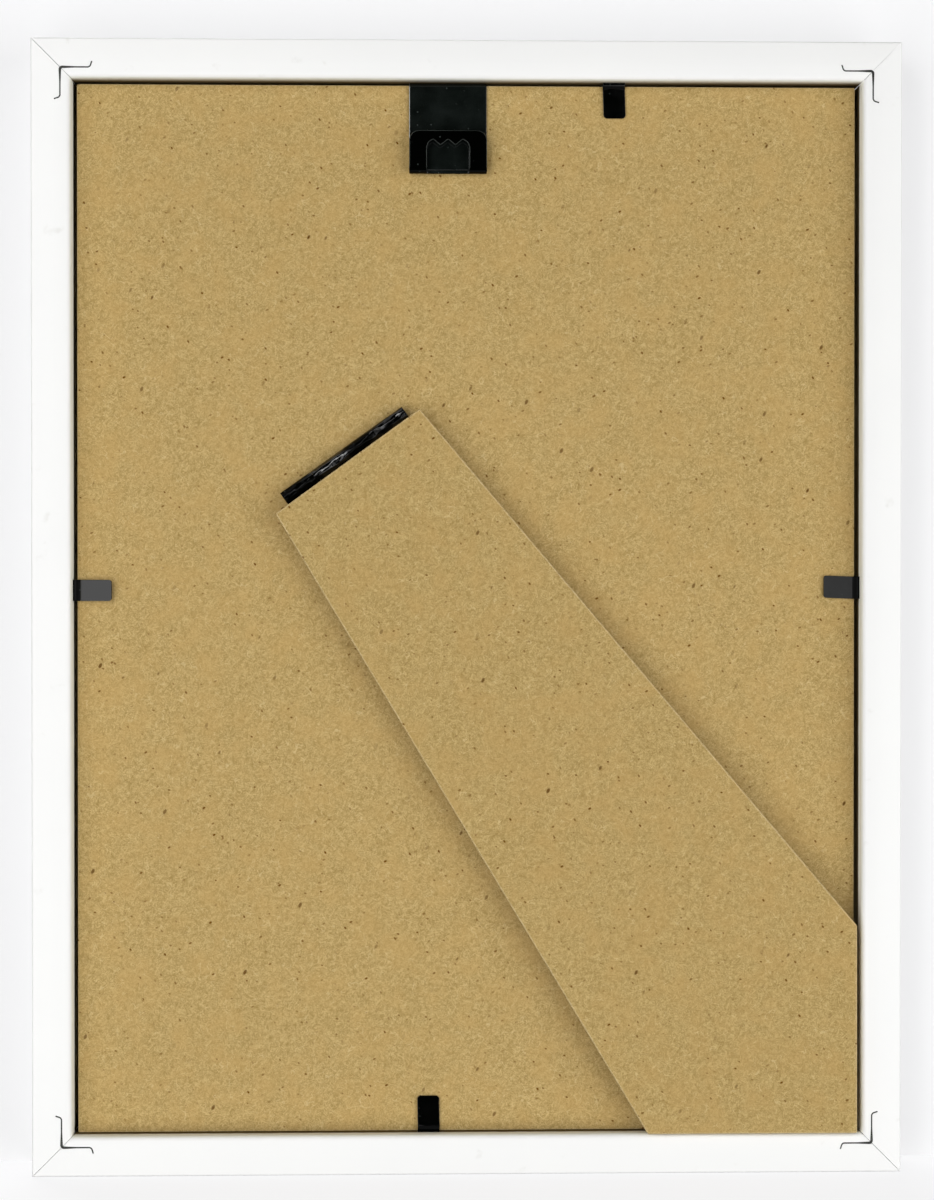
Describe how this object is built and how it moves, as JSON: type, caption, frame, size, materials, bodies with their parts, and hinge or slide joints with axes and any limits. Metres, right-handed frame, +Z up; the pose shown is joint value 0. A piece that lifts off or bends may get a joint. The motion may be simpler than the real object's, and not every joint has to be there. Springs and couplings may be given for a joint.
{
  "type": "picture frame",
  "caption": "Mitred white picture frame with pane, blank insert and fibreboard back, bending tabs, clip-on sawtooth hanger and a hinged strut to stand it upright or sideways",
  "frame": {"origin": "middle of the bottom rail's underside, halfway through the moulding's depth", "axes": "+Z up the portrait frame, -Y out of the picture face, +Y out of the back where the strut swings, +X to the right as seen from the front"},
  "size_m": [0.201, 0.018, 0.262],
  "materials": {
    "white_moulding": "white lacquer on a machined wood moulding, satin",
    "nail_steel": "dark spring steel, edges cut clean",
    "pane_glass": "clear float glass with a faint green edge",
    "insert_paper": "plain uncoated white sheet",
    "fibreboard": "bare pressed fibreboard with dark flecks",
    "black_steel": "thin black enamel on sheet steel, semi-gloss"
  },
  "bodies": {
    "frame": {"rail_bottom": "white_moulding", "rail_right": "white_moulding", "rail_top": "white_moulding", "rail_left": "white_moulding", "corner_nail_bottom_left": "nail_steel", "corner_nail_bottom_right": "nail_steel", "corner_nail_top_right": "nail_steel", "corner_nail_top_left": "nail_steel", "glass_pane": "pane_glass", "insert_sheet": "insert_paper", "backing_board": "fibreboard", "tab_root_bottom": "black_steel", "tab_root_right": "black_steel", "tab_root_top": "black_steel", "tab_root_left": "black_steel", "hanger": "black_steel", "hinge_board_leaf": "black_steel", "hinge_pin": "nail_steel"},
    "strut": {"strut": "fibreboard", "hinge_strut_leaf": "black_steel"},
    "tab_bottom": {"tab_finger_bottom": "black_steel"},
    "tab_right": {"tab_finger_right": "black_steel"},
    "tab_top": {"tab_finger_top": "black_steel"},
    "tab_left": {"tab_finger_left": "black_steel"}
  },
  "joints": [
    {"name": "strut_swing", "type": "hinge", "parent": "frame", "child": "strut", "pos_m": [0.0285, 0.0055, 0.1663], "axis": [0.8131, 0, -0.5821], "range_deg": [0, 40]},
    {"name": "tab_bottom_bend", "type": "hinge", "parent": "frame", "child": "tab_bottom", "pos_m": [0.0091, 0.0053, 0.0095], "axis": [-1, 0, 0], "range_deg": [0, 90]},
    {"name": "tab_right_bend", "type": "hinge", "parent": "frame", "child": "tab_right", "pos_m": [0.091, 0.0053, 0.1351], "axis": [0, 0, -1], "range_deg": [0, 90]},
    {"name": "tab_top_bend", "type": "hinge", "parent": "frame", "child": "tab_top", "pos_m": [-0.0341, 0.0053, 0.2525], "axis": [1, 0, 0], "range_deg": [0, 90]},
    {"name": "tab_left_bend", "type": "hinge", "parent": "frame", "child": "tab_left", "pos_m": [-0.091, 0.0053, 0.1357], "axis": [0, 0, 1], "range_deg": [0, 90]}
  ]
}
